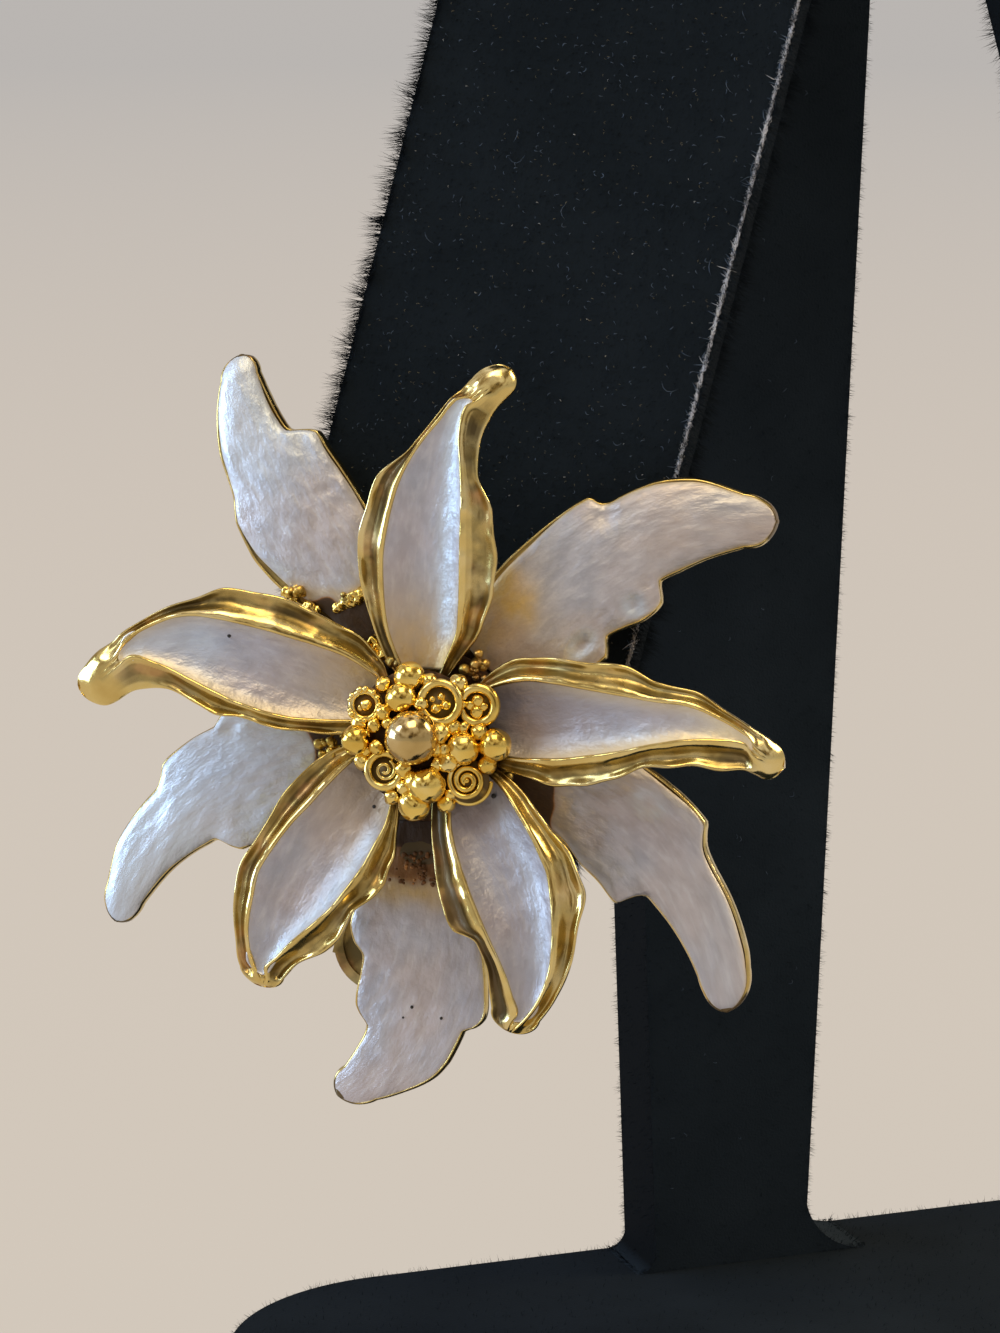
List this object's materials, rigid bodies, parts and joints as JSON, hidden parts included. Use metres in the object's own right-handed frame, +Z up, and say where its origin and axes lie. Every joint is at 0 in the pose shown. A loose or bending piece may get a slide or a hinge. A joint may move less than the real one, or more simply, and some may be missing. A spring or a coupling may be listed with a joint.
{
  "type": "clip-on earring on a display stand",
  "caption": "Clip-on flower earring, gold-tone metal with pearl enamel petals and a stamen cluster, clipped on a small velvet display stand.",
  "frame": {"origin": "centre of the underside of the stand's base", "axes": "+Z up, -Y towards the front of the stand, X across it; the stand's own pieces are mirrored about X = 0 and the earring hangs on the flap at -X"},
  "size_m": [0.0762, 0.0534, 0.094],
  "materials": {
    "gold_tone_metal": "polished",
    "pearl_enamel": "pearly",
    "velvet": "velvet pile"
  },
  "bodies": {
    "stand": {"stand_base": "velvet", "stand_post": "velvet", "stand_top": "velvet", "stand_flap_left": "velvet", "stand_flap_right": "velvet", "clip_plate": "gold_tone_metal", "hinge_pin": "gold_tone_metal", "back_star": "gold_tone_metal", "front_star": "gold_tone_metal", "stamen_cluster": "gold_tone_metal", "back_enamel_1": "pearl_enamel", "back_enamel_2": "pearl_enamel", "back_enamel_3": "pearl_enamel", "back_enamel_4": "pearl_enamel", "back_enamel_5": "pearl_enamel", "front_enamel_1": "pearl_enamel", "front_enamel_2": "pearl_enamel", "front_enamel_3": "pearl_enamel", "front_enamel_4": "pearl_enamel", "front_enamel_5": "pearl_enamel"},
    "lever": {"clip_lever": "gold_tone_metal"}
  },
  "joints": [
    {"name": "clip_hinge", "type": "hinge", "parent": "stand", "child": "lever", "pos_m": [-0.02598, 0.0052, 0.03179], "axis": [-0.808, 0.5492, 0.2132], "range_deg": [0, 75], "stiffness_Nm_per_rad": 0.01, "springref_deg": -11.46}
  ]
}
